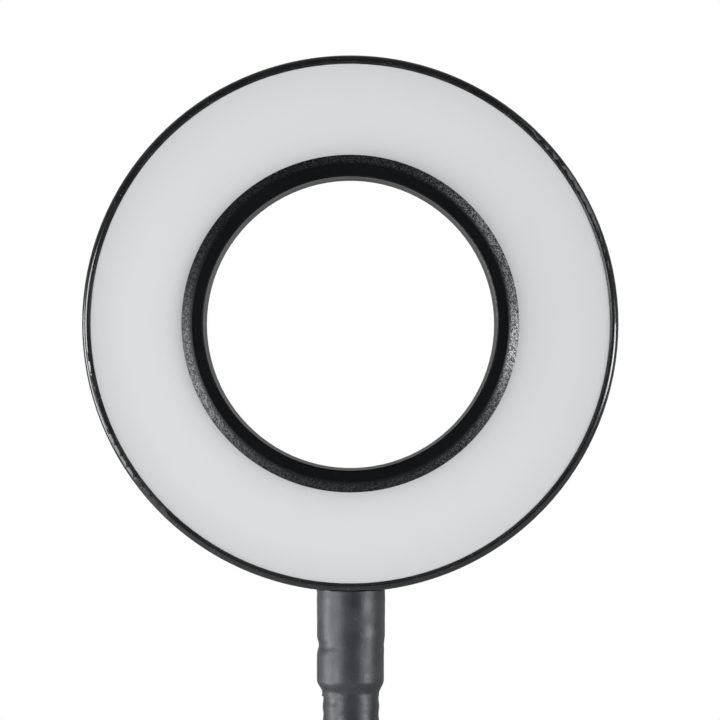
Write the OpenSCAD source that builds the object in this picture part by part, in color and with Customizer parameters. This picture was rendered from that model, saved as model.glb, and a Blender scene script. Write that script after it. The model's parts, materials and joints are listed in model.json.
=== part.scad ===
// Gooseneck ring light on a screw clamp, in mm. +Z is up, the ring faces -Y.
// The origin is the centre of the clamp's upper pad, on the face that lies on the desk top.

/* [Ring head] */

// outer diameter of the ring
ring_dia = 90; // [70:1:130]
// diameter of the hole through the ring
bore_dia = 49.2; // [36:0.2:80]
// depth of the two shells together
head_depth = 16; // [15:0.5:24]
// wall thickness of the shells
shell_wall = 1.6; // [1.2:0.1:2.4]
// depth of the front shell, to the seam
seam_depth = 11.5; // [11:0.1:13]
// radius of the rounded front edge
rim_round = 1.1; // [0.6:0.1:1.4]
// depth of the diffuser's front face behind the rim
diffuser_set = 0.35; // [0.2:0.05:0.8]
// thickness of the diffuser
diffuser_thick = 1.5; // [1:0.1:2.5]
// how far the inner bezel stands in front of the rim
bezel_proud = 0.9; // [0.4:0.1:2]
// width of the inner bezel's slope
bezel_slope = 1.8; // [1:0.1:3]
// number of places round the LED circle, LEDs and board screws together
led_places = 40; // [24:4:60]
// number of screws through the back shell
shell_screw_count = 6; // [6:6:12]

/* [Gooseneck] */

// diameter of the rubber cover
cover_dia = 9.5; // [8:0.1:12]
// thickness of the rubber cover
cover_wall = 0.75; // [0.5:0.05:1]
// distance between two bending places
bend_pitch = 28; // [20:1:36]
// distance from a ferrule's seat to the nearest bending place
end_length = 23.7; // [22:0.1:40]
// lean of the lowest and highest bent lengths, in degrees
small_lean = 9; // [0:1:14]
// lean of the middle of the neck, in degrees
large_lean = 20; // [0:1:26]
// thickness of a ferrule's wall round the hose
ferrule_wall = 1.2; // [1:0.1:2]
// length of a ferrule outside its seat
ferrule_length = 15; // [12:0.5:20]
// thickness of a boot's wall round its ferrule
boot_wall = 0.55; // [0.4:0.05:1]
// length of a boot's full-width part
boot_length = 16; // [15:0.5:20]
// length of the taper at a boot's end
boot_taper = 1.7; // [1:0.1:3]
// diameter of the lead
lead_dia = 2.2; // [1.6:0.1:3]

/* [Control pod] */

// width of the pod and the clamp
base_width = 34; // [30:1:50]
// height of the pod
pod_height = 17; // [16:0.5:24]
// wall thickness of the pod
pod_wall = 1.8; // [1.4:0.1:3]
// diameter of the push buttons
button_dia = 6.8; // [5:0.2:9]
// gap between two buttons
button_gap = 2.8; // [2.2:0.1:5]
// travel of the push buttons
button_travel = 0.5; // [0.3:0.1:1]

/* [Clamp] */

// widest opening between the upper arm and the lower arm
jaw_opening = 50; // [40:1:80]
// front end of the arms, ahead of the pad's centre
arm_reach = 21; // [19:1:40]
// back face of the clamp behind the pad's centre
clamp_back = 34; // [32:1:50]
// thickness of the spine
spine_thick = 10; // [8:0.5:16]
// thickness of the two arms
arm_thick = 12; // [12:0.5:18]
// thickness of the upper rubber pad
pad_thick = 2; // [1:0.5:4]
// diameter of the clamp screw
spindle_dia = 8; // [6:0.5:12]
// open height between the two pads in the stored pose
open_height = 34; // [10:1:36]
// diameter of the pressure pad
presser_dia = 22; // [18:1:30]
// diameter of the knob
knob_dia = 30; // [24:1:44]
// height of the knob
knob_height = 13; // [10:1:20]

/* [Fits] */

// radial clearance of a piece pressed or glued in place
seat_fit = 0.02; // [0.01:0.01:0.05]
// radial clearance of a shaft that turns
running_fit = 0.06; // [0.02:0.01:0.09]
// gap round a piece that moves past another
moving_gap = 0.3; // [0.3:0.05:0.6]
// gap between the ball of one neck length and the cup of the next
ball_gap = 0.4; // [0.3:0.05:0.6]
// radial clearance of a screw through a plain hole
screw_gap = 0.15; // [0.1:0.05:0.4]

/* [Hidden] */

$fn = 64;
step = 0.1;

// radii of the gooseneck's layers
cover_r = cover_dia / 2;
hose_r = cover_r - cover_wall;
ferrule_r = hose_r + ferrule_wall;
boot_r = ferrule_r + boot_wall;

// ring head: radii from the ring's axis, depths from the rim's front
rim_r = ring_dia / 2;
bore_r = bore_dia / 2;
shell_r = rim_r - shell_wall;
tube_r = bore_r + shell_wall - 0.2;
recess_r = rim_r - rim_round - 0.33;
recess_depth = diffuser_set + diffuser_thick;
ledge_r = shell_r - 1.6;
ledge_thick = 1.05;
back_inner = head_depth - shell_wall;
back_round = 2.2;
bore_round = 0.8;
seam_bevel = 0.25;

skirt_gap = 0.05;
skirt_r = tube_r + 1;
skirt_end = recess_depth + 2.15;
tube_start = diffuser_set + 0.85;
bezel_r = bore_r + 3.7;
bezel_flat_r = bezel_r - bezel_slope;
bezel_edge = 0.25;

board_front = back_inner - 5.4;
board_thick = 1.2;
board_back = board_front + board_thick;
led_r = (bore_r + rim_r) / 2 - 2.8;
led_long = 3.5;
led_wide = 2.8;
led_thick = 0.7;
led_gap = 0.2;
board_in = led_r - 4.6;
board_out = led_r + 5.2;
tray_thick = 0.6;
tray_in = led_r - 3.2;
tray_out = led_r + 2.6;
tray_wall = 0.8;
tray_top_out = shell_r - 3.5;
tray_top_in = skirt_r + 0.15;
screw_each = led_places / 4;
led_step = 360 / led_places;
screw_turn_start = led_step * screw_each / 2;
post_r = 2.3;
board_screw_r = 0.9;
board_screw_head_r = 1.5;
board_screw_head = 0.9;
board_screw_depth = 3.4;

boss_circle = shell_r - 2.4;
boss_r = 2.2;
boss_start = 6;
shell_screw_r = 1;
shell_screw_head_r = 1.95;
shell_screw_head = 0.85;
shell_sink = 0.9;
shell_sink_r = 2.1;
shell_screw_depth = 8.2;

// neck seat on the head
neck_depth = head_depth / 2;
seat_rise = 0.3;
seat_r = min(boot_r - 0.1, neck_depth - recess_depth - 0.2);
seat_y = rim_r + seat_rise;
nut_y = shell_r - 0.4;
stub_r = 3;
stub_gap = 0.05;
nut_flat = 9;
nut_thick = 2.4;
nut_corner_r = nut_flat / 2 / cos(30);
stub_inside = 0.4;
ferrule_bore_r = 1.6;
socket_depth = 11;
boot_lip = 0.15;

connector_y = led_r + 0.6;
connector_wide = 8;
connector_tall = 5;
connector_deep = 3.2;
lead_r = lead_dia / 2;
lead_bulge = 0.06;
lead_turn_y = nut_y - nut_thick - 0.8;
lead_in_y = lead_turn_y - 1.8;
lead_in_depth = board_back + 1.4;

// gooseneck
bends = 10;
hose_in_r = hose_r - 1.7;
cup_r = cover_r + ball_gap;
ball_bore_r = lead_r + 0.5;
hose_start = cup_r + 0.3;
hose_stop = 0.2;
lead_start = cup_r + 0.3;
neck_x = 0;
neck_y = 12;
seat_boss = 1;
seat_boss_r = boot_r + 2.25;
pod_top = pad_thick + arm_thick + pod_height;
neck_seat_z = pod_top + seat_boss;

// lean of each length and where each bending place is, counted from the bottom
lean = [0, small_lean, small_lean, large_lean, large_lean, large_lean, large_lean,
        small_lean, small_lean, 0, 0];
function bend_y(k) = k == 1 ? neck_y : bend_y(k - 1) - bend_pitch * sin(lean[k - 1]);
function bend_z(k) = k == 1 ? neck_seat_z + end_length
                            : bend_z(k - 1) + bend_pitch * cos(lean[k - 1]);
top_y = bend_y(bends);
top_z = bend_z(bends);
head_seat_z = top_z + end_length;
ring_z = head_seat_z + seat_y;
ring_y = top_y - neck_depth;

// control pod
button_r = button_dia / 2;
button_pitch = button_dia + button_gap;
button_proud = 1;
button_dish = 0.35;
button_flange = 0.8;
button_flange_r = button_r + 0.8;
body_wide = max(base_width, 2 * (button_pitch + button_flange_r + pod_wall) + 1);
pod_floor = pad_thick + arm_thick;
pod_round = 5;
pod_edge = 2.5;
pod_front = -arm_reach;
button_y = pod_front + 13;
pod_length = arm_reach + clamp_back;
inner_top = pod_top - pod_wall;
pcb_z = pod_floor + 6;
pcb_thick = 1.2;
pcb_top = pcb_z + pcb_thick;
pcb_gap = 0.6;
pillar_r = 3;
pillar_x = body_wide / 2 - pod_wall - pillar_r - 0.2;
pillar_front = pod_front + pod_wall + pillar_r + 0.2;
pillar_back = clamp_back - pod_wall - pillar_r - 0.2;
pod_screw_r = 1.25;
pod_screw_head_r = 2.5;
pod_screw_head = 2.2;
pod_sink = 3;
pod_sink_r = 2.9;
pod_screw_end = pcb_top + 6;

button_slack = 0.1;
button_stem_r = 1.5;
switch_size = 6;
switch_body = 2.6;
switch_plunger = 0.9;
switch_plunger_r = 1.7;
switch_top = pcb_top + switch_body + switch_plunger;
button_foot = switch_top + button_travel + 0.08;

inlet_wide = 8.94;
inlet_tall = 3.26;
inlet_long = 7.3;
inlet_wall = 0.3;
inlet_open = 0.25;
tongue_wide = 6.6;
tongue_tall = 0.7;
tongue_long = 4.6;
inlet_z = pcb_top + inlet_tall / 2;

jack_wide = 7;
jack_deep = 5;
jack_tall = 3;

// clamp
arm_under = -jaw_opening;
clamp_foot = arm_under - arm_thick;
clamp_round = 6;
throat_round = 4;
throat_back = clamp_back - spine_thick;
pocket_depth = 2.2;
pocket_edge = 3;
pad_width = body_wide - 8;
pad_half = 15;
spindle_r = spindle_dia / 2;
insert_r = spindle_r + 2.5;
insert_flange_r = insert_r + 1.5;
insert_flange = 1.6;
presser_r = presser_dia / 2;
presser_body = 6;
presser_face = 2;
presser_top = -open_height;
presser_mid = presser_top - presser_face;
presser_low = presser_mid - presser_body;
pin_r = 2.5;
clip_room_r = 5;
clip_room = 2.2;
clip_r = 4.2;
clip_groove_r = 2;
clip_thick = 0.8;
thrust_gap = 0.1;
pin_top = presser_mid - 0.5;
room_floor = presser_mid - clip_room;
clip_low = room_floor + 0.15;
knob_gap = 2;
closed_lift = open_height - 1.5;
knob_top = clamp_foot - insert_flange - closed_lift - knob_gap;
knob_r = knob_dia / 2;
knob_hub_r = knob_r * 0.55;
knob_hub = 3;
knob_scoop_r = 5.2;
knob_scoops = 6;
knob_socket = 10;

// ---------- places ----------

// ring head: local z runs back from the rim, local y runs down from the ring's axis
module in_head() {
  translate([neck_x, ring_y, ring_z]) rotate([-90, 0, 0]) children();
}

// a length of neck: local z runs up from its lower bending place
module in_length(k) {
  translate([neck_x, bend_y(k), bend_z(k)]) rotate([lean[k], 0, 0]) children();
}

// the neck's seat on the head: local z runs down from the seat
module in_top_seat() {
  translate([neck_x, top_y, head_seat_z]) rotate([180, 0, 0]) children();
}

// the neck's seat on the pod: local z runs up from the seat
module in_low_seat() {
  translate([neck_x, neck_y, neck_seat_z]) children();
}

module tube(outer, inner, height) {
  difference() {
    cylinder(r = outer, h = height);
    translate([0, 0, -step]) cylinder(r = inner, h = height + 2 * step);
  }
}

// what a rounded corner takes away, for a corner at the origin of the solid's -x -y side
module corner_cut(r) {
  difference() {
    translate([-r, -r]) square([r + step, r + step]);
    translate([-r, -r]) circle(r = r);
  }
}

module block(wide, deep, tall) {
  translate([-wide / 2, -deep / 2, 0]) cube([wide, deep, tall]);
}

// ---------- ring head ----------

module front_profile() {
  difference() {
    union() {
      translate([shell_r, 0]) square([shell_wall, seam_depth]);
      translate([ledge_r, recess_depth]) square([shell_r - ledge_r + shell_wall / 2, ledge_thick]);
    }
    translate([shell_r - 1, -step]) square([recess_r - shell_r + 1, recess_depth + step]);
    translate([rim_r, 0]) mirror([0, 1]) corner_cut(rim_round);
    polygon([[recess_r - step, -step], [recess_r + 0.33, 0], [recess_r + 0.33, -step],
             [recess_r + 0.33, 0], [recess_r, diffuser_set], [recess_r - step, diffuser_set]]);
    polygon([[rim_r + step, seam_depth - seam_bevel - step], [rim_r + step, seam_depth + step],
             [rim_r - seam_bevel - step, seam_depth + step]]);
  }
}

module at_shell_bosses() {
  for (k = [0 : shell_screw_count - 1])
    rotate([0, 0, k * 360 / shell_screw_count]) translate([boss_circle, 0, 0]) children();
}

module front_shell() color([0.03, 0.03, 0.035]) in_head() {
  difference() {
    union() {
      rotate_extrude() front_profile();
      at_shell_bosses() {
        translate([0, 0, boss_start]) cylinder(r = boss_r, h = back_inner - boss_start);
        translate([0, -1.2, boss_start]) cube([shell_r - boss_circle + 0.5, 2.4, seam_depth - 0.5 - boss_start]);
      }
      translate([0, nut_y, neck_depth]) rotate([-90, 0, 0]) cylinder(r = seat_r, h = seat_y - nut_y);
    }
    at_shell_bosses() translate([0, 0, boss_start + 1.2])
      cylinder(r = shell_screw_r + seat_fit, h = head_depth);
    translate([0, nut_y - 1, neck_depth]) rotate([-90, 0, 0]) cylinder(r = stub_r + stub_gap, h = 6);
  }
}

module back_profile() {
  difference() {
    translate([bore_r, tube_start]) square([rim_r - bore_r, head_depth - tube_start]);
    translate([tube_r, tube_start - step]) square([rim_r, seam_depth - tube_start + step]);
    translate([tube_r, seam_depth - step]) square([shell_r - tube_r, back_inner - seam_depth + step]);
    translate([rim_r, head_depth]) corner_cut(back_round);
    translate([bore_r, head_depth]) mirror([1, 0]) corner_cut(bore_round);
    polygon([[rim_r + step, seam_depth + seam_bevel + step], [rim_r + step, seam_depth - step],
             [rim_r - seam_bevel - step, seam_depth - step]]);
  }
}

module at_board_screws() {
  for (k = [0 : 3])
    rotate([0, 0, screw_turn_start + k * 90]) translate([led_r, 0, 0]) children();
}

module back_shell() color([0.035, 0.035, 0.04]) in_head() {
  difference() {
    union() {
      rotate_extrude() back_profile();
      at_board_screws() translate([0, 0, board_back]) cylinder(r = post_r, h = back_inner - board_back + 0.4);
    }
    at_board_screws() translate([0, 0, board_back - step])
      cylinder(r = board_screw_r + seat_fit, h = board_screw_depth);
    at_shell_bosses() {
      translate([0, 0, back_inner - step]) cylinder(r = shell_screw_r + screw_gap, h = shell_wall + 2 * step);
      translate([0, 0, head_depth - shell_sink]) cylinder(r = shell_sink_r, h = shell_sink + step);
    }
    translate([0, nut_y, neck_depth]) rotate([-90, 0, 0]) cylinder(r = seat_r + 0.1, h = 6);
  }
}

module shell_screws() color([0.45, 0.45, 0.47]) in_head() {
  at_shell_bosses() difference() {
    union() {
      translate([0, 0, head_depth - shell_sink]) cylinder(r = shell_screw_head_r, h = shell_screw_head);
      translate([0, 0, shell_screw_depth]) cylinder(r = shell_screw_r, h = head_depth - shell_sink - shell_screw_depth + 0.2);
    }
    translate([0, 0, head_depth - shell_sink + 0.35]) {
      block(2.2, 0.5, 1);
      block(0.5, 2.2, 1);
    }
  }
}

module diffuser() color([0.88, 0.88, 0.86]) in_head() {
  translate([0, 0, diffuser_set]) tube(recess_r - skirt_gap, skirt_r + skirt_gap, diffuser_thick);
}

module inner_bezel() color([0.02, 0.02, 0.022]) in_head() {
  rotate_extrude() polygon([
    [bore_r, tube_start], [bore_r, bezel_edge - bezel_proud], [bore_r + bezel_edge, -bezel_proud],
    [bezel_flat_r, -bezel_proud], [bezel_r, diffuser_set], [skirt_r, diffuser_set],
    [skirt_r, skirt_end], [tube_r + seat_fit, skirt_end], [tube_r + seat_fit, tube_start]]);
}

// every place round the LED circle that isn't a board screw, from the given start
module at_leds(first, stride) {
  for (k = [first : stride : led_places - 1])
    if ((k + screw_each / 2) % screw_each != 0)
      rotate([0, 0, k * led_step]) translate([led_r, 0, 0]) children();
}

module reflector() color([0.93, 0.93, 0.92]) in_head() {
  difference() {
    rotate_extrude() polygon([
      [tray_in - tray_wall, board_front], [tray_top_in, recess_depth],
      [tray_top_in + tray_wall, recess_depth], [tray_in, board_front - tray_thick],
      [tray_out, board_front - tray_thick], [tray_top_out - tray_wall, recess_depth],
      [tray_top_out, recess_depth], [tray_out + tray_wall, board_front]]);
    at_leds(0, 1) translate([0, 0, board_front - tray_thick - step])
      block(led_long + 2 * led_gap, led_wide + 2 * led_gap, tray_thick + 2 * step);
    at_board_screws() translate([0, 0, board_front - tray_thick - step])
      cylinder(r = board_screw_r + screw_gap, h = tray_thick + 2 * step);
  }
}

module led_board() color([0.9, 0.9, 0.88]) in_head() {
  difference() {
    translate([0, 0, board_front]) tube(board_out, board_in, board_thick);
    at_board_screws() translate([0, 0, board_front - step])
      cylinder(r = board_screw_r + screw_gap, h = board_thick + 2 * step);
  }
}

module leds_cool() color([0.95, 0.95, 0.8]) in_head() {
  at_leds(0, 2) translate([0, 0, board_front - led_thick]) block(led_long, led_wide, led_thick);
}

module leds_warm() color([0.95, 0.8, 0.45]) in_head() {
  at_leds(1, 2) translate([0, 0, board_front - led_thick]) block(led_long, led_wide, led_thick);
}

module board_screws() color([0.6, 0.6, 0.62]) in_head() {
  at_board_screws() {
    difference() {
      translate([0, 0, board_front - tray_thick - board_screw_head])
        cylinder(r = board_screw_head_r, h = board_screw_head);
      translate([0, 0, board_front - tray_thick - board_screw_head - step]) {
        block(1.8, 0.4, 0.5);
        block(0.4, 1.8, 0.5);
      }
    }
    translate([0, 0, board_front - tray_thick])
      cylinder(r = board_screw_r, h = board_thick + tray_thick + board_screw_depth - 0.6);
  }
}

module board_connector() color([0.9, 0.88, 0.8]) in_head() {
  translate([0, connector_y, board_back]) difference() {
    block(connector_wide, connector_tall, connector_deep);
    translate([0, connector_tall / 2, lead_in_depth - board_back])
      rotate([-90, 0, 0]) cylinder(r = lead_r + seat_fit, h = 4, center = true);
  }
}

module head_lead() color([0.05, 0.05, 0.05]) in_head() {
  translate([0, lead_turn_y, neck_depth]) rotate([-90, 0, 0])
    cylinder(r = lead_r, h = seat_y - lead_turn_y + 3);
  translate([0, lead_turn_y, neck_depth]) sphere(r = lead_r + lead_bulge);
  lead_slant = atan2(lead_in_depth - neck_depth, lead_turn_y - lead_in_y);
  translate([0, lead_turn_y, neck_depth]) rotate([90 - lead_slant, 0, 0])
    cylinder(r = lead_r, h = norm([lead_turn_y - lead_in_y, lead_in_depth - neck_depth]));
  translate([0, lead_in_y, lead_in_depth]) sphere(r = lead_r + lead_bulge);
  translate([0, connector_y + 0.6, lead_in_depth]) rotate([-90, 0, 0])
    cylinder(r = lead_r, h = lead_in_y - connector_y - 0.6);
}

// ---------- ferrules, nuts and boots ----------

// seat at z = 0, body above it, threaded stub below it
module ferrule(stub_length) {
  difference() {
    union() {
      cylinder(r = ferrule_r, h = ferrule_length);
      translate([0, 0, -stub_length]) cylinder(r = stub_r, h = stub_length + step);
    }
    translate([0, 0, ferrule_length - socket_depth]) cylinder(r = hose_r + seat_fit, h = socket_depth + step);
    translate([0, 0, -stub_length - step]) cylinder(r = ferrule_bore_r, h = stub_length + ferrule_length);
  }
}

module boot() {
  difference() {
    rotate_extrude() polygon([
      [0, 0], [boot_r, 0], [boot_r, boot_length], [cover_r + boot_lip, boot_length + boot_taper],
      [0, boot_length + boot_taper]]);
    translate([0, 0, -step]) cylinder(r = ferrule_r + seat_fit, h = ferrule_length + step);
    cylinder(r = cover_r + seat_fit, h = boot_length + boot_taper + step);
  }
}

module nut() {
  difference() {
    cylinder(r = nut_corner_r, h = nut_thick, $fn = 6);
    translate([0, 0, -step]) cylinder(r = stub_r + seat_fit, h = nut_thick + 2 * step);
  }
}

module upper_ferrule() color([0.7, 0.7, 0.72])
  in_top_seat() ferrule(seat_y - nut_y + nut_thick + stub_inside);

module ferrule_nut() color([0.6, 0.6, 0.62])
  in_top_seat() translate([0, 0, -(seat_y - nut_y) - nut_thick]) nut();

module upper_boot() color([0.12, 0.12, 0.12]) in_top_seat() boot();

module lower_ferrule() color([0.7, 0.7, 0.72])
  in_low_seat() ferrule(seat_boss + pod_wall + nut_thick + stub_inside);

module lower_nut() color([0.6, 0.6, 0.62])
  in_low_seat() translate([0, 0, -seat_boss - pod_wall - nut_thick]) nut();

module lower_boot() color([0.12, 0.12, 0.12]) in_low_seat() boot();

// ---------- gooseneck lengths ----------

// a skin from z = low to the ball centred at z = high
module cover_ball_end(low, high) {
  rotate_extrude() difference() {
    union() {
      translate([0, low]) square([cover_r, high - low]);
      intersection() {
        translate([0, high]) circle(r = cover_r);
        translate([0, high]) square([cover_r, cover_r]);
      }
    }
    translate([-step, low - step]) square([hose_r + seat_fit + step, high - low + step]);
    translate([-step, low - step]) square([ball_bore_r + step, high - low + cover_r + 2 * step]);
  }
}

// a skin with a cup round z = 0, up to z = high
module cover_length(high, ball) {
  difference() {
    if (ball) cover_ball_end(0, high);
    else tube(cover_r, hose_r + seat_fit, high);
    sphere(r = cup_r);
  }
}

module hose_length(low, high) {
  translate([0, 0, low]) tube(hose_r, hose_in_r, high - low);
}

module lead_length(low, high) {
  translate([0, 0, low]) cylinder(r = lead_r, h = high - low);
}

module hose_00() color([0.55, 0.55, 0.57]) in_low_seat() {
  hose_length(ferrule_length - socket_depth, end_length - hose_stop);
  lead_length(ferrule_length - socket_depth, end_length - hose_stop);
}

module cover_00() color([0.1, 0.1, 0.1]) in_low_seat() cover_ball_end(ferrule_length, end_length);

module middle_hose(k) color([0.55, 0.55, 0.57]) in_length(k) {
  hose_length(hose_start, bend_pitch - hose_stop);
  lead_length(lead_start, bend_pitch - hose_stop);
}

module middle_cover(k) color([0.1, 0.1, 0.1]) in_length(k) cover_length(bend_pitch, true);

module hose_01() middle_hose(1);
module hose_02() middle_hose(2);
module hose_03() middle_hose(3);
module hose_04() middle_hose(4);
module hose_05() middle_hose(5);
module hose_06() middle_hose(6);
module hose_07() middle_hose(7);
module hose_08() middle_hose(8);
module hose_09() middle_hose(9);

module cover_01() middle_cover(1);
module cover_02() middle_cover(2);
module cover_03() middle_cover(3);
module cover_04() middle_cover(4);
module cover_05() middle_cover(5);
module cover_06() middle_cover(6);
module cover_07() middle_cover(7);
module cover_08() middle_cover(8);
module cover_09() middle_cover(9);

module hose_10() color([0.55, 0.55, 0.57]) in_length(bends) {
  hose_length(hose_start, end_length - ferrule_length + socket_depth);
  lead_length(lead_start, end_length - ferrule_length + socket_depth);
}

module cover_10() color([0.1, 0.1, 0.1])
  in_length(bends) cover_length(end_length - ferrule_length, false);

// ---------- control pod ----------

module rounded_rect(wide, low, high, r) {
  difference() {
    translate([-wide / 2, low]) square([wide, high - low]);
    translate([wide / 2, high]) corner_cut(r);
    translate([-wide / 2, high]) mirror([1, 0]) corner_cut(r);
    translate([wide / 2, low]) mirror([0, 1]) corner_cut(r);
    translate([-wide / 2, low]) mirror([1, 0]) mirror([0, 1]) corner_cut(r);
  }
}

module pod_outside() {
  intersection() {
    translate([0, 0, pod_floor]) linear_extrude(height = pod_height)
      rounded_rect(body_wide, pod_front, clamp_back, pod_round);
    rotate([90, 0, 90]) linear_extrude(height = body_wide + 2, center = true) difference() {
      translate([pod_front - 1, pod_floor]) square([pod_length + 2, pod_height]);
      translate([clamp_back, pod_top]) corner_cut(pod_edge);
      translate([pod_front, pod_top]) mirror([1, 0]) corner_cut(pod_edge);
    }
    translate([0, clamp_back + 1, 0]) rotate([90, 0, 0]) linear_extrude(height = pod_length + 2) difference() {
      translate([-body_wide / 2 - 1, pod_floor]) square([body_wide + 2, pod_height]);
      translate([body_wide / 2, pod_top]) corner_cut(pod_edge);
      translate([-body_wide / 2, pod_top]) mirror([1, 0]) corner_cut(pod_edge);
    }
  }
}

module at_pillars() {
  for (x = [-pillar_x, pillar_x])
    for (y = [pillar_front, pillar_back])
      translate([x, y, 0]) children();
}

module at_buttons() {
  for (k = [-1 : 1]) translate([k * button_pitch, button_y, 0]) children();
}

module slot_shape(wide, tall) {
  translate([-(wide - tall) / 2, -tall / 2]) square([wide - tall, tall]);
  for (x = [-(wide - tall) / 2, (wide - tall) / 2]) translate([x, 0]) circle(r = tall / 2);
}

module pod_housing() color([0.04, 0.04, 0.045]) difference() {
  union() {
    difference() {
      pod_outside();
      translate([0, 0, pod_floor - step]) linear_extrude(height = pod_height - pod_wall + step)
        rounded_rect(body_wide - 2 * pod_wall, pod_front + pod_wall, clamp_back - pod_wall, pod_round - pod_wall);
    }
    at_pillars() translate([0, 0, pcb_top]) cylinder(r = pillar_r, h = inner_top - pcb_top + 0.4);
    translate([neck_x, neck_y, inner_top]) cylinder(r = seat_boss_r, h = pod_wall + seat_boss);
  }
  at_pillars() translate([0, 0, pcb_top - step]) cylinder(r = pod_screw_r + seat_fit, h = pod_screw_end - pcb_top + 1);
  at_buttons() translate([0, 0, inner_top - 1]) cylinder(r = button_r + moving_gap, h = pod_wall + 2);
  translate([neck_x, neck_y, inner_top - 1]) cylinder(r = stub_r + stub_gap, h = pod_wall + seat_boss + 2);
  translate([0, clamp_back + 1, inlet_z]) rotate([90, 0, 0]) linear_extrude(height = pod_wall + 2)
    slot_shape(inlet_wide + 2 * inlet_open, inlet_tall + 2 * inlet_open);
}

module pod_screws() color([0.5, 0.5, 0.52]) at_pillars() {
  difference() {
    translate([0, 0, pad_thick + pod_sink - pod_screw_head]) cylinder(r = pod_screw_head_r, h = pod_screw_head);
    translate([0, 0, pad_thick + pod_sink - pod_screw_head - step]) cylinder(r = 1.2, h = 1.3, $fn = 6);
  }
  translate([0, 0, pad_thick + pod_sink]) cylinder(r = pod_screw_r, h = pod_screw_end - pad_thick - pod_sink);
}

module control_board() color([0.05, 0.3, 0.12]) difference() {
  translate([0, 0, pcb_z]) linear_extrude(height = pcb_thick)
    rounded_rect(body_wide - 2 * pod_wall - 2 * pcb_gap, pod_front + pod_wall + pcb_gap,
                 clamp_back - pod_wall - pcb_gap, pod_round - pod_wall - pcb_gap);
  at_pillars() translate([0, 0, pcb_z - step]) cylinder(r = pod_screw_r + screw_gap, h = pcb_thick + 2 * step);
}

module tact_switches() color([0.15, 0.15, 0.16]) at_buttons() translate([0, 0, pcb_top]) {
  block(switch_size, switch_size, switch_body);
  translate([0, 0, switch_body]) cylinder(r = switch_plunger_r, h = switch_plunger);
}

module power_inlet() color([0.75, 0.75, 0.77])
  translate([0, clamp_back - inlet_open, inlet_z]) rotate([90, 0, 0]) {
    difference() {
      linear_extrude(height = inlet_long) slot_shape(inlet_wide, inlet_tall);
      translate([0, 0, -step]) linear_extrude(height = inlet_long - 1)
        slot_shape(inlet_wide - 2 * inlet_wall, inlet_tall - 2 * inlet_wall);
    }
    translate([-tongue_wide / 2, -tongue_tall / 2, inlet_long - 1.2 - tongue_long])
      cube([tongue_wide, tongue_tall, tongue_long + 0.4]);
  }

module pod_connector() color([0.9, 0.88, 0.8]) translate([neck_x, neck_y, pcb_top]) difference() {
  block(jack_wide, jack_deep, jack_tall);
  translate([0, 0, jack_tall - 1.5]) cylinder(r = lead_r + seat_fit, h = 2);
}

module pod_lead() color([0.05, 0.05, 0.05]) {
  lead_low = pcb_top + jack_tall - 1.5;
  translate([neck_x, neck_y, lead_low])
    cylinder(r = lead_r, h = neck_seat_z + ferrule_length - socket_depth - lead_low);
}

module push_button() difference() {
  union() {
    translate([0, 0, inner_top - button_slack - step])
      cylinder(r = button_r, h = pod_wall + button_slack + button_proud + step);
    translate([0, 0, inner_top - button_slack - button_flange]) cylinder(r = button_flange_r, h = button_flange);
    translate([0, 0, button_foot])
      cylinder(r = button_stem_r, h = inner_top - button_slack - button_foot);
  }
  translate([0, 0, pod_top + button_proud + 9 - button_dish]) sphere(r = 9);
}

module button_at(k) translate([k * button_pitch, button_y, 0]) push_button();

module dimmer_button() color([0.2, 0.2, 0.21]) button_at(-1);
module power_button() color([0.2, 0.2, 0.21]) button_at(0);
module brighter_button() color([0.2, 0.2, 0.21]) button_at(1);

// ---------- clamp ----------

module clamp_side() {
  difference() {
    translate([pod_front, clamp_foot]) square([pod_length, pod_floor - clamp_foot]);
    difference() {
      translate([pod_front - 1, arm_under])
        square([throat_back - pod_front + 1, pad_thick - arm_under]);
      translate([throat_back, pad_thick]) corner_cut(throat_round);
      translate([throat_back, arm_under]) mirror([0, 1]) corner_cut(throat_round);
    }
    translate([clamp_back, clamp_foot]) mirror([0, 1]) corner_cut(clamp_round);
    translate([pod_front, clamp_foot]) mirror([1, 0]) mirror([0, 1]) corner_cut(clamp_round);
  }
}

// the shallow pocket in each side of the spine and the lower arm
module pocket_side() {
  translate([throat_back + pocket_edge, clamp_foot + arm_thick])
    square([spine_thick - 2 * pocket_edge, jaw_opening - 2 * pocket_edge]);
}

module clamp_frame() color([0.04, 0.04, 0.045]) difference() {
  union() {
    intersection() {
      rotate([90, 0, 90]) linear_extrude(height = body_wide + 2, center = true) clamp_side();
      translate([0, 0, clamp_foot - 1]) linear_extrude(height = pod_floor - clamp_foot + 2)
        rounded_rect(body_wide, pod_front, clamp_back, pod_round);
    }
    at_pillars() translate([0, 0, pod_floor - 0.5]) cylinder(r = pillar_r, h = pcb_z - pod_floor + 0.5);
  }
  for (side = [-1, 1]) translate([side * body_wide / 2, 0, 0])
    rotate([90, 0, 90]) linear_extrude(height = 2 * pocket_depth, center = true) pocket_side();
  at_pillars() {
    translate([0, 0, pad_thick - step]) cylinder(r = pod_sink_r, h = pod_sink + step);
    translate([0, 0, pad_thick]) cylinder(r = pod_screw_r + screw_gap, h = pcb_z);
  }
  translate([0, 0, clamp_foot - step]) cylinder(r = insert_r + seat_fit, h = arm_thick + 2 * step);
}

module jaw_pad() color([0.06, 0.06, 0.06]) difference() {
  linear_extrude(height = pad_thick) rounded_rect(pad_width, -pad_half, pad_half, 3);
  for (x = [-pillar_x, pillar_x]) translate([x, pillar_front, -step])
    cylinder(r = pod_sink_r + 0.4, h = pad_thick + 2 * step);
}

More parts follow.
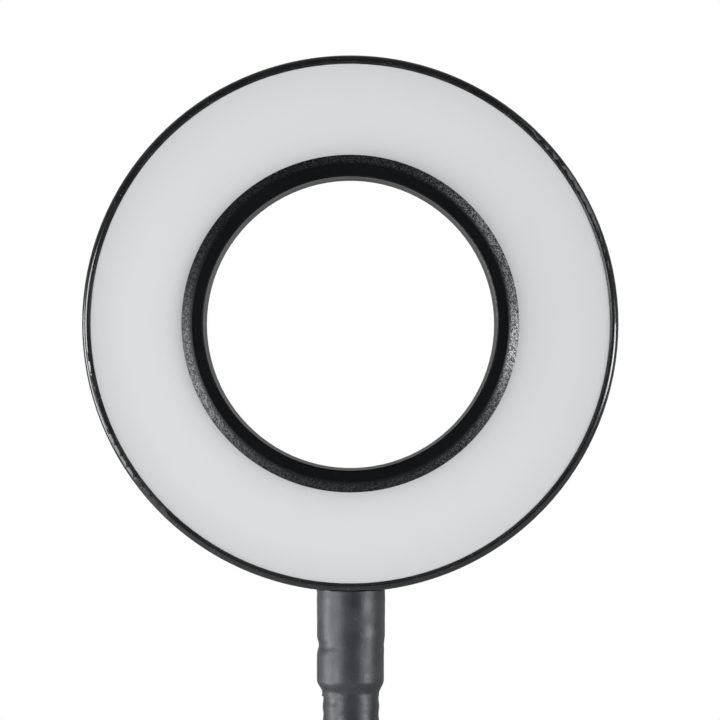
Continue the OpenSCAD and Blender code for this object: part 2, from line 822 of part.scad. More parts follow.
module thread_insert() color([0.75, 0.6, 0.3]) difference() {
  union() {
    translate([0, 0, clamp_foot]) cylinder(r = insert_r, h = arm_thick);
    translate([0, 0, clamp_foot - insert_flange]) cylinder(r = insert_flange_r, h = insert_flange);
  }
  translate([0, 0, clamp_foot - insert_flange - step])
    cylinder(r = spindle_r + running_fit, h = arm_thick + insert_flange + 2 * step);
}

module pressure_pad() color([0.65, 0.65, 0.67]) difference() {
  union() {
    translate([0, 0, presser_mid - 3]) cylinder(r = presser_r, h = 3);
    translate([0, 0, presser_low]) cylinder(r = presser_r - 3.5, h = presser_body);
  }
  translate([0, 0, room_floor]) cylinder(r = clip_room_r, h = clip_room + step);
  translate([0, 0, presser_low - step]) cylinder(r = pin_r + running_fit, h = presser_body);
}

module pad_face() color([0.06, 0.06, 0.06])
  translate([0, 0, presser_mid]) cylinder(r = presser_r, h = presser_face);

module clamp_spindle() color([0.7, 0.7, 0.72]) difference() {
  union() {
    translate([0, 0, presser_low - thrust_gap - step]) cylinder(r = pin_r, h = pin_top - presser_low + thrust_gap + step);
    translate([0, 0, knob_top - knob_socket]) cylinder(r = spindle_r, h = presser_low - thrust_gap - knob_top + knob_socket);
  }
  translate([0, 0, clip_low - 0.05]) difference() {
    cylinder(r = pin_r + 1, h = clip_thick + 0.1);
    translate([0, 0, -step]) cylinder(r = clip_groove_r, h = clip_thick + 1);
  }
}

module pad_clip() color([0.5, 0.5, 0.52]) translate([0, 0, clip_low]) difference() {
  tube(clip_r, clip_groove_r + seat_fit, clip_thick);
  translate([0, -1.4, -step]) cube([6, 2.8, clip_thick + 1]);
}

module clamp_knob() color([0.05, 0.05, 0.055]) difference() {
  union() {
    translate([0, 0, knob_top - knob_height]) cylinder(r = knob_r, h = knob_height - knob_hub);
    translate([0, 0, knob_top - knob_hub - step]) cylinder(r = knob_hub_r, h = knob_hub + step);
  }
  for (k = [0 : knob_scoops - 1])
    rotate([0, 0, k * 360 / knob_scoops]) translate([knob_r + 1.6, 0, knob_top - knob_height - step])
      cylinder(r = knob_scoop_r, h = knob_height);
  translate([0, 0, knob_top - knob_socket]) cylinder(r = spindle_r + seat_fit, h = knob_socket + step);
  translate([0, 0, knob_top - knob_height - step]) cylinder(r = knob_r * 0.45, h = 1.2);
}

front_shell();
back_shell();
shell_screws();
diffuser();
inner_bezel();
reflector();
led_board();
leds_cool();
leds_warm();
board_screws();
board_connector();
head_lead();
upper_ferrule();
ferrule_nut();
upper_boot();
hose_00();
hose_01();
hose_02();
hose_03();
hose_04();
hose_05();
hose_06();
hose_07();
hose_08();
hose_09();
hose_10();
cover_00();
cover_01();
cover_02();
cover_03();
cover_04();
cover_05();
cover_06();
cover_07();
cover_08();
cover_09();
cover_10();
lower_boot();
lower_ferrule();
lower_nut();
pod_housing();
pod_screws();
control_board();
tact_switches();
power_inlet();
pod_connector();
pod_lead();
power_button();
brighter_button();
dimmer_button();
clamp_frame();
jaw_pad();
thread_insert();
pressure_pad();
pad_face();
pad_clip();
clamp_spindle();
clamp_knob();
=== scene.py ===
"""Looks for the gooseneck ring light: a black ring head with a milky diffuser on a
rubber-covered gooseneck, with a push-button pod and a screw clamp.

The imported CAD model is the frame. New pieces here are the skin of the gooseneck, its two
shrink boots and the clamp screw with its thread. Everything else keeps its CAD shape and
gets its material here."""
import json
import math

import bpy
import numpy as np
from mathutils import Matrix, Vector


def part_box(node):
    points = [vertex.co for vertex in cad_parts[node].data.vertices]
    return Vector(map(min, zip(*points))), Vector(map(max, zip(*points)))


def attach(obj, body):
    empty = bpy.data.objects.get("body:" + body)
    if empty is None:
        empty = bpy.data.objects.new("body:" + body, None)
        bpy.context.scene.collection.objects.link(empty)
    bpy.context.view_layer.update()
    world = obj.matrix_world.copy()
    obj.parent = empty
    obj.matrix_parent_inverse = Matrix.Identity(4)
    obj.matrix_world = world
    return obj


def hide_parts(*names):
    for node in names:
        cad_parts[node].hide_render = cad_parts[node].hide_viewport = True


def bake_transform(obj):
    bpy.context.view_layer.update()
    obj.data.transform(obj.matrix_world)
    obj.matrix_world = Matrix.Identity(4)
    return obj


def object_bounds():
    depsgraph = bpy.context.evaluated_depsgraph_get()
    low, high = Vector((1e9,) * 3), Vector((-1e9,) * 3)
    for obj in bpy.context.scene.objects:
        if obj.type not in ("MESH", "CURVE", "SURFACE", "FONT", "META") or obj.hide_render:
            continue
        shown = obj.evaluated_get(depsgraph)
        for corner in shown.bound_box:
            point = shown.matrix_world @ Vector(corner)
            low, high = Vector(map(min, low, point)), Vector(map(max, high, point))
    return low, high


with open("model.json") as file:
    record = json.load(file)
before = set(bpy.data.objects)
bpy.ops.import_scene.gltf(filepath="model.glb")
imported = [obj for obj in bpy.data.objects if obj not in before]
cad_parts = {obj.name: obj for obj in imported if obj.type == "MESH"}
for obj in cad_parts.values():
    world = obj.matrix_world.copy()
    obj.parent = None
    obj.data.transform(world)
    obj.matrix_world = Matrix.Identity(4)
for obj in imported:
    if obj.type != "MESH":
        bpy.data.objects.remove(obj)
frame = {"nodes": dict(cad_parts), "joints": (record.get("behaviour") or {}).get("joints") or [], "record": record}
CAD_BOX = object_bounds()

MM = 0.001
NODES = frame["nodes"]
JOINTS = {j["name"]: j for j in frame["joints"]}

# ---------- sizes, in metres ----------

RIM_LOW, RIM_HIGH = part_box("front_shell")
BEZEL_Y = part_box("inner_bezel")[0].y
GLASS_LOW, GLASS_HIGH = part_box("diffuser")
RING_X = (RIM_HIGH.x + RIM_LOW.x) / 2
RING_Z = (GLASS_HIGH.z + GLASS_LOW.z) / 2
RIM_Y = RIM_LOW.y

BEND_COUNT = 10
COVER_R = 4.75 * MM
BEND_PITCH = 28 * MM
END_LENGTH = 23.7 * MM
FERRULE_LENGTH = 15 * MM
BOOT_R = 5.78 * MM
OFF_AXIS = 0.1 * MM
BOOT_END = 17.7 * MM
SKIN_END = END_LENGTH - FERRULE_LENGTH - 0.4 * MM
SKIN_END_BEND = 7 * MM
SKIN_ROW = 0.3 * MM
LEANS = [math.radians(a) for a in (0, 9, 9, 20, 20, 20, 20, 9, 9, 0, 0)]
BENDS = [np.array(JOINTS[f"bend_{k:02d}"]["pos_m"]) for k in range(1, BEND_COUNT + 1)]
LOW_SEAT = BENDS[0] - np.array([0, 0, END_LENGTH])
TOP_SEAT = BENDS[-1] + np.array([0, 0, END_LENGTH])

# ---------- camera ----------

VIEW_DISTANCE = 0.64
VIEW_WIDTH = 120.56 * MM
SENSOR = 36.0

camera_data = bpy.data.cameras.new("camera")
camera_data.sensor_width = SENSOR
camera_data.lens = SENSOR * VIEW_DISTANCE / VIEW_WIDTH
camera_data.clip_start = 0.02
camera_data.clip_end = 30
camera = bpy.data.objects.new("camera", camera_data)
bpy.context.scene.collection.objects.link(camera)
camera.location = (RING_X + 1.63 * MM, RIM_Y - VIEW_DISTANCE, RING_Z - 6.1 * MM)
camera.rotation_euler = (math.radians(90), 0, 0)
bpy.context.scene.camera = camera
bpy.context.scene.view_settings.view_transform = "Standard"

# ---------- studio ----------


def make_world(seen, front, back):
    """An even light room: seen is the shade behind the object, and the light from it goes
    smoothly from front, on the -Y side, to back, on the +Y side."""
    world = bpy.data.worlds.new("studio")
    bpy.context.scene.world = world
    world.use_nodes = True
    tree = world.node_tree
    tree.nodes.clear()
    out = tree.nodes.new("ShaderNodeOutputWorld")
    coords = tree.nodes.new("ShaderNodeTexCoord")
    split = tree.nodes.new("ShaderNodeSeparateXYZ")
    tree.links.new(coords.outputs["Generated"], split.inputs[0])
    ramp = tree.nodes.new("ShaderNodeMapRange")
    ramp.interpolation_type = "SMOOTHSTEP"
    ramp.inputs["From Min"].default_value = -0.6
    ramp.inputs["From Max"].default_value = 0.9
    ramp.inputs["To Min"].default_value = front
    ramp.inputs["To Max"].default_value = back
    tree.links.new(split.outputs["Y"], ramp.inputs["Value"])
    room = tree.nodes.new("ShaderNodeBackground")
    tree.links.new(ramp.outputs["Result"], room.inputs["Strength"])
    room.inputs["Color"].default_value = (1, 1, 1, 1)
    paper = tree.nodes.new("ShaderNodeBackground")
    paper.inputs["Color"].default_value = (1, 1, 1, 1)
    paper.inputs["Strength"].default_value = seen
    rays = tree.nodes.new("ShaderNodeLightPath")
    mix = tree.nodes.new("ShaderNodeMixShader")
    tree.links.new(rays.outputs["Is Camera Ray"], mix.inputs["Fac"])
    tree.links.new(room.outputs[0], mix.inputs[1])
    tree.links.new(paper.outputs[0], mix.inputs[2])
    tree.links.new(mix.outputs[0], out.inputs["Surface"])


def softbox(name, azimuth, elevation, distance, wide, tall, radiance):
    """A rectangular lamp round the ring's middle that faces it and looks equally bright
    all over. Azimuth runs from the camera's side towards +X, in degrees."""
    data = bpy.data.lights.new(name, "AREA")
    data.shape = "RECTANGLE"
    data.size = wide
    data.size_y = tall
    data.energy = math.pi * wide * tall * radiance
    data.color = (0.982, 1.0, 1.016)
    lamp = bpy.data.objects.new(name, data)
    bpy.context.scene.collection.objects.link(lamp)
    a, e = math.radians(azimuth), math.radians(elevation)
    away = Vector((math.sin(a) * math.cos(e), -math.cos(a) * math.cos(e), math.sin(e)))
    lamp.location = Vector((RING_X, RIM_Y, RING_Z)) + away * distance
    lamp.rotation_euler = (-away).to_track_quat("-Z", "Y").to_euler()


make_world(1.0, 0.1, 0.42)
softbox("left_softbox", -47, 0, 1.0, 0.28, 0.4, 12.5)
softbox("side_softbox", -88, -12, 0.9, 0.3, 0.5, 10.0)
softbox("low_softbox", -66, -26, 0.7, 0.2, 0.24, 5.0)
softbox("right_softbox", 61, -7, 1.0, 0.46, 0.25, 13.5)
softbox("upper_softbox", 64, 32, 1.1, 0.6, 0.45, 1.5)


def make_floor():
    """A flat pale disc at the object's lowest point."""
    radius = 1.3
    turns = np.linspace(0, 2 * np.pi, 96, endpoint=False)
    level = CAD_BOX[0].z - 0.2 * MM
    rim = np.column_stack([radius * np.cos(turns), radius * np.sin(turns), np.full(96, level)])
    mesh = bpy.data.meshes.new("floor")
    mesh.from_pydata(rim.tolist(), [], [list(range(96))])
    floor = bpy.data.objects.new("floor", mesh)
    bpy.context.scene.collection.objects.link(floor)
    return floor


# ---------- shared shader groups ----------


class Graph:
    """Short ways to add and join nodes in one node tree."""

    def __init__(self, tree):
        self.tree = tree

    def add(self, kind, **settings):
        found = self.tree.nodes.new(kind)
        for name, value in settings.items():
            setattr(found, name, value)
        return found

    def feed(self, socket, value):
        if hasattr(value, "is_output"):
            self.tree.links.new(value, socket)
        else:
            socket.default_value = value

    def math(self, operation, a, b=0.0, c=0.0, clamp=False):
        found = self.add("ShaderNodeMath", operation=operation, use_clamp=clamp)
        for socket, value in zip(found.inputs, (a, b, c)):
            self.feed(socket, value)
        return found.outputs[0]

    def span(self, value, low, high, to_low=0.0, to_high=1.0, smooth=True):
        found = self.add("ShaderNodeMapRange")
        found.interpolation_type = "SMOOTHSTEP" if smooth else "LINEAR"
        self.feed(found.inputs["Value"], value)
        self.feed(found.inputs["From Min"], low)
        self.feed(found.inputs["From Max"], high)
        self.feed(found.inputs["To Min"], to_low)
        self.feed(found.inputs["To Max"], to_high)
        return found.outputs["Result"]

    def noise(self, where, scale, detail=2.0, roughness=0.5):
        found = self.add("ShaderNodeTexNoise")
        self.feed(found.inputs["Vector"], where)
        self.feed(found.inputs["Scale"], scale)
        self.feed(found.inputs["Detail"], detail)
        self.feed(found.inputs["Roughness"], roughness)
        return found.outputs["Fac"]

    def cells(self, where, scale):
        found = self.add("ShaderNodeTexVoronoi")
        self.feed(found.inputs["Vector"], where)
        self.feed(found.inputs["Scale"], scale)
        return found

    def mix_colour(self, share, a, b, blend="MIX"):
        found = self.add("ShaderNodeMix", data_type="RGBA", blend_type=blend)
        self.feed(found.inputs[0], share)
        for socket, value in ((found.inputs[6], a), (found.inputs[7], b)):
            if not hasattr(value, "is_output") and len(value) == 3:
                value = (*value, 1)
            self.feed(socket, value)
        return found.outputs[2]


def shader_group(name, inputs, outputs):
    """A node group with the named (name, kind, default) inputs and (name, kind) outputs."""
    tree = bpy.data.node_groups.new(name, "ShaderNodeTree")
    for label, kind, value in inputs:
        socket = tree.interface.new_socket(label, in_out="INPUT", socket_type=kind)
        if value is not None:
            socket.default_value = value
    for label, kind in outputs:
        tree.interface.new_socket(label, in_out="OUTPUT", socket_type=kind)
    graph = Graph(tree)
    return tree, graph, graph.add("NodeGroupInput"), graph.add("NodeGroupOutput")


FLOAT, VECTOR, COLOUR = "NodeSocketFloat", "NodeSocketVector", "NodeSocketColor"


def make_grain_group():
    """Spark-eroded grain: rounded pits of one size, broken up by a finer noise. Height is
    the pitted surface, Glint marks the few facets that catch the light, and Tone is a slow
    drift in shade from one area to the next."""
    tree, g, given, out = shader_group(
        "spark_grain",
        [("Where", VECTOR, None), ("Grain Size", FLOAT, 0.25), ("Drift Size", FLOAT, 14.0)],
        [("Height", FLOAT), ("Glint", FLOAT), ("Tone", FLOAT)])
    per_mm = g.math("DIVIDE", 1000.0, given.outputs["Grain Size"])
    pits = g.cells(given.outputs["Where"], per_mm)
    fine = g.noise(given.outputs["Where"], g.math("MULTIPLY", per_mm, 1.7), 2.0, 0.6)
    height = g.math("ADD", pits.outputs["Distance"], g.math("MULTIPLY", fine, 0.6))
    glint = g.span(fine, 0.6, 0.75)
    slow = g.noise(given.outputs["Where"], g.math("DIVIDE", 1000.0, given.outputs["Drift Size"]), 3.0)
    tree.links.new(height, out.inputs["Height"])
    tree.links.new(glint, out.inputs["Glint"])
    tree.links.new(slow, out.inputs["Tone"])
    return tree


def make_dust_group():
    """Dust and handling: Specks are small sparse flecks, Smear is broad soft patches where
    hands have been, and Scuffs are short fine scratches that run mostly one way."""
    tree, g, given, out = shader_group(
        "dust_and_handling",
        [("Where", VECTOR, None), ("Speck Size", FLOAT, 0.5), ("Smear Size", FLOAT, 9.0)],
        [("Specks", FLOAT), ("Smear", FLOAT), ("Scuffs", FLOAT)])
    per_mm = g.math("DIVIDE", 1000.0, given.outputs["Speck Size"])
    flecks = g.cells(given.outputs["Where"], per_mm)
    near = g.span(flecks.outputs["Distance"], 0.28, 0.12)
    chosen = g.add("ShaderNodeSeparateColor")
    tree.links.new(flecks.outputs["Color"], chosen.inputs[0])
    rare = g.span(chosen.outputs[0], 0.93, 0.96)
    specks = g.math("MULTIPLY", near, rare)
    smear = g.noise(given.outputs["Where"], g.math("DIVIDE", 1000.0, given.outputs["Smear Size"]), 4.0, 0.6)
    stretch = g.add("ShaderNodeMapping")
    tree.links.new(given.outputs["Where"], stretch.inputs["Vector"])
    stretch.inputs["Scale"].default_value = (260, 900, 2400)
    stretch.inputs["Rotation"].default_value = (0.4, 0.2, 0.7)
    lines = g.noise(stretch.outputs[0], 1.0, 2.0, 0.5)
    scuffs = g.math("MULTIPLY", g.span(lines, 0.66, 0.74), g.span(smear, 0.45, 0.65))
    tree.links.new(specks, out.inputs["Specks"])
    tree.links.new(g.span(smear, 0.3, 0.7), out.inputs["Smear"])
    tree.links.new(scuffs, out.inputs["Scuffs"])
    return tree


def make_turned_group():
    """Turned or drawn metal: fine rings across the long axis Z, as a cutting tool leaves."""
    tree, g, given, out = shader_group(
        "turned_rings", [("Where", VECTOR, None), ("Ring Size", FLOAT, 0.12)],
        [("Height", FLOAT), ("Tone", FLOAT)])
    squash = g.add("ShaderNodeMapping")
    tree.links.new(given.outputs["Where"], squash.inputs["Vector"])
    squash.inputs["Scale"].default_value = (0.03, 0.03, 1.0)
    rings = g.noise(squash.outputs[0], g.math("DIVIDE", 1000.0, given.outputs["Ring Size"]), 3.0, 0.6)
    broad = g.noise(given.outputs["Where"], 180.0, 3.0, 0.5)
    tree.links.new(rings, out.inputs["Height"])
    tree.links.new(broad, out.inputs["Tone"])
    return tree


GRAIN = make_grain_group()
DUST = make_dust_group()
TURNED = make_turned_group()


class Finish:
    """One material: a Principled shader, its object coordinates, and the shared groups."""

    def __init__(self, name):
        self.material = bpy.data.materials.new(name)
        self.material.use_nodes = True
        tree = self.material.node_tree
        tree.nodes.clear()
        self.g = Graph(tree)
        self.out = self.g.add("ShaderNodeOutputMaterial")
        self.skin = self.g.add("ShaderNodeBsdfPrincipled")
        tree.links.new(self.skin.outputs[0], self.out.inputs["Surface"])
        self.where = self.g.add("ShaderNodeTexCoord").outputs["Object"]

    def group(self, tree, **values):
        found = self.g.add("ShaderNodeGroup")
        found.node_tree = tree
        self.g.feed(found.inputs["Where"], self.where)
        for label, value in values.items():
            found.inputs[label.replace("_", " ")].default_value = value
        return found.outputs

    def colour(self, value):
        self.g.feed(self.skin.inputs["Base Color"], value)

    def rough(self, value):
        self.g.feed(self.skin.inputs["Roughness"], value)

    def bump(self, height, depth_mm, strength=1.0):
        found = self.g.add("ShaderNodeBump")
        found.inputs["Strength"].default_value = strength
        found.inputs["Distance"].default_value = depth_mm * MM
        self.g.feed(found.inputs["Height"], height)
        self.g.feed(self.skin.inputs["Normal"], found.outputs[0])

    def set(self, **values):
        for label, value in values.items():
            self.skin.inputs[label.replace("_", " ")].default_value = value


def moulded_plastic(name, shade, tint, grain_mm, depth_mm, rough, dusty=0.35, glints=0.0):
    """Black moulded plastic: spark-eroded grain, slow drift in shade, dust and scuffs."""
    f = Finish(name)
    g = f.g
    grain = f.group(GRAIN, Grain_Size=grain_mm)
    dust = f.group(DUST)
    low = tuple(shade * 0.75 * t for t in tint)
    high = tuple(shade * 1.3 * t for t in tint)
    base = g.mix_colour(g.span(grain["Tone"], 0.35, 0.65), low, high)
    worn = g.mix_colour(g.math("MULTIPLY", dust["Scuffs"], 0.35), base, (0.12, 0.12, 0.12))
    if glints:
        worn = g.mix_colour(g.math("MULTIPLY", grain["Glint"], glints), worn, (0.35, 0.35, 0.36))
    f.colour(g.mix_colour(g.math("MULTIPLY", dust["Specks"], dusty), worn, (0.3, 0.29, 0.28)))
    f.rough(g.math("ADD", g.math("MULTIPLY", dust["Smear"], -0.07), rough + 0.04))
    f.bump(grain["Height"], depth_mm)
    return f


def machined_metal(name, colour, rough, ring_mm=0.12, depth_mm=0.004):
    """Plated or turned metal with fine rings and slow change in shade."""
    f = Finish(name)
    g = f.g
    rings = f.group(TURNED, Ring_Size=ring_mm)
    dust = f.group(DUST, Smear_Size=5.0)
    dark = tuple(0.78 * c for c in colour)
    f.colour(g.mix_colour(g.span(rings["Tone"], 0.35, 0.65), dark, colour))
    f.rough(g.math("ADD", g.math("MULTIPLY", dust["Smear"], 0.12), rough - 0.05))
    f.bump(rings["Height"], depth_mm)
    f.set(Metallic=1.0)
    return f


def gloss_shell():
    """Polished black moulding: a faint waviness, dust flecks and hairline scuffs."""
    f = Finish("polished_black_shell")
    g = f.g
    dust = f.group(DUST, Speck_Size=0.34, Smear_Size=7.0)
    wave = g.noise(f.where, 420.0, 2.0, 0.5)
    base = g.mix_colour(g.span(wave, 0.35, 0.65), (0.006, 0.006, 0.007), (0.012, 0.0125, 0.0135))
    worn = g.mix_colour(g.math("MULTIPLY", dust["Scuffs"], 0.4), base, (0.1, 0.1, 0.1))
    f.colour(g.mix_colour(g.math("MULTIPLY", dust["Specks"], 0.6), worn, (0.4, 0.4, 0.4)))
    f.rough(g.span(dust["Smear"], 0.0, 1.0, 0.12, 0.2, False))
    fine = g.noise(f.where, 2600.0, 2.0, 0.6)
    f.bump(g.math("ADD", wave, g.math("MULTIPLY", fine, 0.12)), 0.008)
    f.set(Specular_IOR_Level=0.8)
    return f


def bezel_plastic():
    """Black bezel: a near-smooth dark face, and a glinting grain on the slope round it. The
    distance behind the face tells one from the other, and the grain builds up over the
    first half millimetre. The coat on the slope carries a painted reflection: its weight is
    uneven round the ring, highest towards 2 o'clock, standing in for the studio reflections
    there: 0.33 + 0.35 q + 0.48 q^2, where q is the cosine of the turn away from the line
    65 degrees clockwise from the top."""
    f = Finish("grained_black_bezel")
    g = f.g
    split = g.add("ShaderNodeSeparateXYZ")
    g.feed(split.inputs[0], f.where)
    slope = g.span(split.outputs["Y"], BEZEL_Y + 0.02 * MM, BEZEL_Y + 0.55 * MM)
    dx = g.math("SUBTRACT", split.outputs["X"], RING_X)
    dz = g.math("SUBTRACT", split.outputs["Z"], RING_Z)
    r = g.math("SQRT", g.math("ADD", g.math("MULTIPLY", dx, dx), g.math("MULTIPLY", dz, dz)))
    # painted reflection: the slope's coat weight is raised towards 2 o'clock, standing in for the studio
    # reflections there
    toward = g.math("ADD", g.math("MULTIPLY", dx, 0.906), g.math("MULTIPLY", dz, 0.423))
    q = g.math("DIVIDE", toward, r)
    bent = g.math("MULTIPLY", g.math("ADD", g.math("MULTIPLY", q, 0.48), 0.35), q)
    painted_reflection_gloss = g.math("ADD", bent, 0.33)
    coarse = f.group(GRAIN, Grain_Size=0.2)
    fine = f.group(GRAIN, Grain_Size=0.2)
    dust = f.group(DUST, Speck_Size=0.3)
    drift = g.span(coarse["Tone"], 0.35, 0.65)
    base = g.mix_colour(drift, (0.0016, 0.0021, 0.0025), (0.0028, 0.0035, 0.0042))
    facets = g.add("ShaderNodeSeparateColor")
    g.feed(facets.inputs[0], g.cells(f.where, 1000.0 / 0.17).outputs["Color"])
    turned = g.math("POWER", facets.outputs[0], 1.9)
    shaded = g.mix_colour(g.math("MULTIPLY", slope, turned), base, (0.008, 0.0085, 0.009))
    f.colour(g.mix_colour(g.math("MULTIPLY", dust["Specks"], 0.25), shaded, (0.2, 0.2, 0.2)))
    f.rough(g.span(slope, 0.0, 1.0, 0.42, 0.3, False))
    facet_coat_and_painted_reflection = g.math("MULTIPLY", g.math("MULTIPLY", turned, slope), painted_reflection_gloss, clamp=True)
    g.feed(f.skin.inputs["Coat Weight"], facet_coat_and_painted_reflection)
    f.set(Specular_IOR_Level=0.2, Coat_IOR=3.0, Coat_Roughness=0.38)
    pits = g.math("MULTIPLY", coarse["Height"], slope)
    f.bump(g.math("ADD", pits, g.math("MULTIPLY", fine["Height"], 0.2)), 0.03)
    return f


def milky_diffuser():
    """Milky plastic with painted shade. Its colour is lightest midway and is painted darker
    towards both edges, standing in for the shade near the black walls: inwards with an
    exponential of 1.5 mm, outwards with the square of the distance from the middle."""
    f = Finish("milky_diffuser")
    g = f.g
    split = g.add("ShaderNodeSeparateXYZ")
    g.feed(split.inputs[0], f.where)
    dx = g.math("SUBTRACT", split.outputs["X"], RING_X)
    dz = g.math("SUBTRACT", split.outputs["Z"], RING_Z)
    r = g.math("SQRT", g.math("ADD", g.math("MULTIPLY", dx, dx), g.math("MULTIPLY", dz, dz)))
    # painted shade: the base colour darkens towards the inner and outer edges of the diffuser
    inner = g.math("EXPONENT", g.math("DIVIDE", g.math("SUBTRACT", 28.9 * MM, r), 1.5 * MM))
    past = g.math("MAXIMUM", g.math("DIVIDE", g.math("SUBTRACT", r, 35 * MM), 8 * MM), 0.0)
    outer = g.math("MULTIPLY", past, past)
    painted_edge_shade = g.math("ADD", g.math("MULTIPLY", inner, 0.15), g.math("MULTIPLY", outer, 0.085), clamp=True)
    mottle = g.noise(f.where, 70.0, 3.0, 0.5)
    painted_edge_shade = g.math("ADD", painted_edge_shade, g.span(mottle, 0.3, 0.7, -0.006, 0.006, False), clamp=True)
    diffuser_colour_with_painted_shade = g.mix_colour(painted_edge_shade, (0.832, 0.836, 0.84), (0.0, 0.0, 0.0))
    f.colour(diffuser_colour_with_painted_shade)
    f.rough(g.span(mottle, 0.3, 0.7, 0.5, 0.6, False))
    fine = g.noise(f.where, 3200.0, 2.0, 0.6)
    f.bump(fine, 0.004)
    f.set(Specular_IOR_Level=0.3)
    return f


def rubber_skin(name, shade, coarse_mm):
    """Matte black rubber: mottled bloom, small pale rubs, a soft grain."""
    f = Finish(name)
    g = f.g
    grain = f.group(GRAIN, Grain_Size=coarse_mm, Drift_Size=4.0)
    dust = f.group(DUST, Speck_Size=0.42, Smear_Size=3.0)
    low = tuple(shade * 0.72 * t for t in (0.93, 0.96, 1.08))
    high = tuple(shade * 1.3 * t for t in (0.94, 0.97, 1.08))
    bloom = g.mix_colour(g.span(grain["Tone"], 0.3, 0.7), low, high)
    rubs = g.math("MULTIPLY", dust["Smear"], g.span(grain["Glint"], 0.2, 1.0))
    rubbed = g.mix_colour(g.math("MULTIPLY", rubs, 0.22), bloom, (0.3, 0.3, 0.31))
    f.colour(g.mix_colour(g.math("MULTIPLY", dust["Specks"], 0.35), rubbed, (0.36, 0.36, 0.36)))
    f.rough(g.span(dust["Smear"], 0.0, 1.0, 0.36, 0.48, False))
    soft_grain = g.math("MULTIPLY", grain["Height"], 0.6)
    f.bump(g.math("ADD", soft_grain, g.math("MULTIPLY", grain["Tone"], 3.0)), 0.026)
    f.set(Specular_IOR_Level=0.6)
    return f


def plain_part(name, colour, rough, tint=(1, 1, 1)):
    """A small inner part: a moulded or coated surface with a little change in shade."""
    f = Finish(name)
    g = f.g
    grain = f.group(GRAIN, Grain_Size=0.3, Drift_Size=6.0)
    low = tuple(0.86 * c * t for c, t in zip(colour, tint))
    f.colour(g.mix_colour(g.span(grain["Tone"], 0.35, 0.65), low, colour))
    f.rough(g.span(grain["Tone"], 0.3, 0.7, rough - 0.05, rough + 0.05, False))
    f.bump(grain["Height"], 0.01)
    return f


def printed_button(name, centre, mark):
    """A dark satin button with a small pale printed mark: a ring, a plus or a minus."""
    f = Finish(name)
    g = f.g
    grain = f.group(GRAIN, Grain_Size=0.2)
    dust = f.group(DUST)
    split = g.add("ShaderNodeSeparateXYZ")
    g.feed(split.inputs[0], f.where)
    dx = g.math("SUBTRACT", split.outputs["X"], centre.x)
    dy = g.math("SUBTRACT", split.outputs["Y"], centre.y)
    ax, ay = g.math("ABSOLUTE", dx), g.math("ABSOLUTE", dy)

    def bar(along, across):
        inside = g.span(along, 1.45 * MM, 1.4 * MM)
        return g.math("MULTIPLY", inside, g.span(across, 0.27 * MM, 0.22 * MM))

    if mark == "ring":
        r = g.math("SQRT", g.math("ADD", g.math("MULTIPLY", dx, dx), g.math("MULTIPLY", dy, dy)))
        off = g.math("ABSOLUTE", g.math("SUBTRACT", r, 1.35 * MM))
        print_mask = g.span(off, 0.26 * MM, 0.21 * MM)
    elif mark == "plus":
        print_mask = g.math("MAXIMUM", bar(ax, ay), bar(ay, ax))
    else:
        print_mask = bar(ax, ay)
    height = g.span(split.outputs["Z"], centre.z - 0.6 * MM, centre.z - 0.5 * MM)
    print_mask = g.math("MULTIPLY", print_mask, height)
    worn = g.math("MULTIPLY", print_mask, g.span(grain["Tone"], 0.2, 0.5, 0.7, 1.0))
    base = g.mix_colour(g.span(grain["Tone"], 0.35, 0.65), (0.045, 0.045, 0.048), (0.065, 0.065, 0.068))
    inked = g.mix_colour(worn, base, (0.7, 0.7, 0.68))
    f.colour(g.mix_colour(g.math("MULTIPLY", dust["Specks"], 0.3), inked, (0.3, 0.3, 0.3)))
    f.rough(g.math("ADD", g.math("MULTIPLY", dust["Smear"], -0.08), 0.5))
    f.bump(grain["Height"], 0.01)
    return f


def paper_floor():
    f = Finish("pale_floor")
    g = f.g
    tone = g.noise(f.where, 9.0, 3.0, 0.5)
    f.colour(g.mix_colour(g.span(tone, 0.3, 0.7), (0.60, 0.60, 0.60), (0.63, 0.63, 0.62)))
    f.rough(0.8)
    return f


floor = make_floor()
floor.data.materials.append(paper_floor().material)

